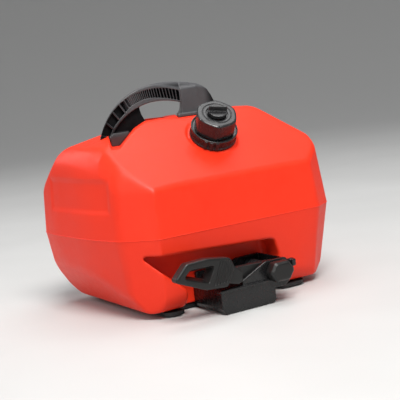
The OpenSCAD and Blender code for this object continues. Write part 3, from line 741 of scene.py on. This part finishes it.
def bracket_field(g):
    block = [(-56, 1), (20, 1), (24, 5), (24, 34), (-60, 34), (-60, 8)]
    d = g.along_y(rounded(block, [2, 2, 2, 1, 1, 2]), -162, -90, 1.4)
    d = join(d, g.along_y([(-63, 30), (7, 30), (7, 34), (-63, 34)], -165, -154, 0.8), 0.5)
    wall = [(-26, 33), (-26, 40), (12, 58), (44, 58), (50, 50), (50, 28), (40, 20), (20, 20)]
    d = join(d, g.along_y(rounded(wall, [1, 2, 4, 4, 4, 4, 4, 3]), -162, -156, 0.9), 0.8)
    d = join(d, g.along_y([(45, 24), (50, 28), (50, 50), (45, 57)], -162, -90, 0.8), 0.6)
    d = join(d, g.along_y([(47, 42), (58, 44), (58, 54), (45, 54)], -162, -156, 0.8), 0.5)
    d = join(d, g.along_y([(51.5, 43.5), (58, 44.5), (58, 53.5), (51.5, 53)], -166, -161, 0.9), 0.4)
    back = [(-56, 20), (24, 10), (50, 14), (62, 28), (62, 48), (44, 56), (12, 56), (-8, 50), (-54, 50), (-56, 48)]
    d = join(d, g.along_y(back, -96, -90, 0.8), 0.8)
    d = less(d, g.cyl_y(PX, PZ, 15.0, -156, -96, 0.6), 0.5)
    d = less(d, g.along_y([(-24, -5), (24.5, -5), (24.5, 60), (-24, 60)], -147, -131, 0.6), 0.6)
    d = less(d, g.along_y([(-5, -5), (9, -5), (9, 25), (-5, 25)], -153, -118, 0.6), 0.6)
    d = less(d, g.along_y([(-52, -5), (-30, -5), (-30, 28), (-52, 28)], -150, -102, 0.6), 0.6)
    d = less(d, np.hypot(g.x - PX, g.z - PZ) - 7.0 + 0 * g.y, 0.3)
    for x, z in ((-44, 43), (56, 40)):
        d = less(d, g.cyl_y(x, z, 2.7, -100, -80, 0.1), 0.2)
    return d


def boss_field(g):
    big = rounded([(PX - 11, PZ - 12.5), (PX + 11, PZ - 12.5), (PX + 19.5, PZ), (PX + 11, PZ + 13),
                   (PX - 11, PZ + 13), (PX - 19.5, PZ)], [4, 4, 4, 4, 4, 4], 5)
    top = rounded([(PX - 9, PZ - 10), (PX + 9, PZ - 10), (PX + 16, PZ), (PX + 9, PZ + 10),
                   (PX - 9, PZ + 10), (PX - 16, PZ)], [3, 3, 3, 3, 3, 3], 4)
    s = g.xz(big)
    d = both(s, g.slab_y(-174, -163), 1.6)
    # sloping shoulders between the two tiers
    t = g.xz(top)
    slope = np.maximum(t - 0.9 * (g.y + 179.0), s)
    d = join(d, both(slope, g.slab_y(-179, -168), 1.0), 0.6)
    return less(d, g.cyl_y(PX, PZ, 9.0, -169, -150, 0.3), 0.4)


def latch_pieces():
    g = Grid((-134, -174, 26), (42, -144, 83), 0.75)
    lever = skin(g, lever_field(g))
    g = Grid((-64, -167, 0.5), (63, -89, 59), 0.85)
    bracket = skin(g, bracket_field(g))
    g = Grid((6, -180, 28), (50, -162, 58), 0.5)
    boss = skin(g, boss_field(g))
    for side, m in (("front", False), ("rear", True)):
        make(side + "_lever_moulding", [lever], M["latch_grip"], side + "_latch", [side + "_lever"], m)
        make(side + "_bracket_moulding", [bracket], M["latch_gloss"], "tank", [side + "_bracket"], m)
        make(side + "_boss_cover", [boss], M["latch_grip"], side + "_latch", [side + "_boss_cap"], m)


tank_piece()
neck_piece()
handle_piece()
ring_piece()
cap_piece()
knob_piece()
latch_pieces()

# CAD nodes that stay: their shape is right, they get the finished materials
KEEP = {
    "handle_inserts": "brass", "base_inserts": "brass", "front_latch_inserts": "brass",
    "rear_latch_inserts": "brass", "handle_screws": "steel", "base_bolts": "steel",
    "cap_seal": "rubber", "vent_seal": "rubber", "foot_pads": "rubber", "base_frame": "frame_black",
}
for s in ("front_", "rear_"):
    KEEP.update({s + "bushes": "bush_polymer", s + "bracket_screws": "black_steel", s + "claw": "black_steel",
                 s + "shaft": "black_steel", s + "clip": "black_steel", s + "spring": "black_steel"})
for n, m in KEEP.items():
    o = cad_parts[n]
    o.data.materials.clear()
    o.data.materials.append(M[m])

# ------------------------------------------------------- floor, light, camera


def floor():
    """A round pale floor that turns up far from the object, so no edge shows."""
    prof = [(0.0, 0.0), (0.25, 0.0), (0.5, 0.0), (1.0, 0.0), (1.8, 0.0), (2.6, 0.0)]
    for i in range(1, 25):
        a = math.radians(80) * i / 24
        prof.append((2.6 + 2.6 * math.sin(a), 2.6 * (1 - math.cos(a))))
    n = 128
    v, f = [(0.0, 0.0, 0.0)], []
    for r, z in prof[1:]:
        v += [(r * math.cos(2 * math.pi * i / n), r * math.sin(2 * math.pi * i / n), z) for i in range(n)]
    for i in range(n):
        f.append((0, 1 + i, 1 + (i + 1) % n))
    for k in range(len(prof) - 2):
        for i in range(n):
            j = (i + 1) % n
            f.append((1 + k * n + i, 1 + (k + 1) * n + i, 1 + (k + 1) * n + j, 1 + k * n + j))
    me = bpy.data.meshes.new("floor")
    me.from_pydata(v, [], f)
    me.polygons.foreach_set("use_smooth", [True] * len(me.polygons))
    ob = bpy.data.objects.new("floor", me)
    bpy.context.scene.collection.objects.link(ob)
    n = Nodes("floor_paper")
    a = n.noise(3.0, 3, 0.5)
    b = n.noise(420.0, 3, 0.6)
    col = n.ramp(a, [(0.3, (0.50, 0.50, 0.495)), (0.7, (0.54, 0.54, 0.535))])
    away = n.add("ShaderNodeVectorMath", operation="LENGTH")
    n.link(n.co, away.inputs[0])
    col = n.mix(n.span(away.outputs["Value"], 0.0, 1.0, 0.9, 3.2), col, (0.45, 0.45, 0.445, 1))
    me.materials.append(n.out(col, n.span(b, 0.62, 0.74), n.bump(b, 0.0002, 0.3)))


floor()


def area(name, loc, at, size, power, color=(1, 1, 1)):
    li = bpy.data.lights.new(name, "AREA")
    li.shape = "RECTANGLE"
    li.size, li.size_y = size
    li.energy = power
    li.color = color
    ob = bpy.data.objects.new(name, li)
    ob.location = loc
    ob.rotation_mode = "QUATERNION"
    ob.rotation_quaternion = (Vector(at) - Vector(loc)).to_track_quat("-Z", "Y")
    bpy.context.scene.collection.objects.link(ob)


area("key", (-0.5, -1.5, 2.2), (0, 0, 0.15), (1.3, 1.0), 82, (1.0, 0.985, 0.96))
area("top", (0.32, 0.12, 2.4), (0, 0, 0.1), (1.6, 1.6), 32)
area("left", (-2.1, -0.8, 0.9), (0, 0, 0.2), (0.3, 1.2), 7)
area("back", (-1.3, 1.7, 1.2), (0, 0, 0.2), (1.2, 0.8), 12)

bpy.context.scene.view_settings.view_transform = "Standard"

world = bpy.data.worlds.new("studio")
world.use_nodes = True
sky = world.node_tree
ramp = sky.nodes.new("ShaderNodeValToRGB")
ramp.color_ramp.elements[0].position = 0.05
ramp.color_ramp.elements[0].color = (0.62, 0.64, 0.66, 1)
ramp.color_ramp.elements[1].position = 0.75
ramp.color_ramp.elements[1].color = (0.90, 0.92, 0.95, 1)
split = sky.nodes.new("ShaderNodeSeparateXYZ")
sky.links.new(sky.nodes.new("ShaderNodeTexCoord").outputs["Generated"], split.inputs[0])
sky.links.new(split.outputs["Z"], ramp.inputs["Fac"])
sky.links.new(ramp.outputs["Color"], sky.nodes["Background"].inputs["Color"])
sky.nodes["Background"].inputs["Strength"].default_value = 0.30
bpy.context.scene.world = world

# Camera: 30 degrees to the left of square-on, 8.6 degrees up, rolled 6.5
# degrees, 1.5 m away. The point (0, 0, 110 mm) falls on pixel (190, 215).
phi, el, rho = math.radians(30.0), math.radians(8.6), math.radians(6.5)
F_PX, DIST = 1050.0, 1.5
back = Vector((-math.sin(phi) * math.cos(el), -math.cos(phi) * math.cos(el), math.sin(el)))
right = Vector((math.cos(phi), -math.sin(phi), 0))
up = back.cross(right)
r2 = right * math.cos(rho) - up * math.sin(rho)
u2 = right * math.sin(rho) + up * math.cos(rho)
cam = bpy.data.cameras.new("camera")
cam.sensor_fit = "HORIZONTAL"
cam.sensor_width = 36.0
cam.lens = 36.0 * F_PX / 400.0
cam.clip_start, cam.clip_end = 0.05, 50.0
cam_ob = bpy.data.objects.new("camera", cam)
loc = Vector((0, 0, 0.110)) + back * DIST
look = (-back + r2 * (10.0 / F_PX) + u2 * (15.0 / F_PX)).normalized()
zc = -look
xc = u2.cross(zc).normalized()
yc = zc.cross(xc)
rot = Matrix((xc, yc, zc)).transposed()
cam_ob.matrix_world = Matrix.Translation(loc) @ rot.to_4x4()
bpy.context.scene.collection.objects.link(cam_ob)
bpy.context.scene.camera = cam_ob
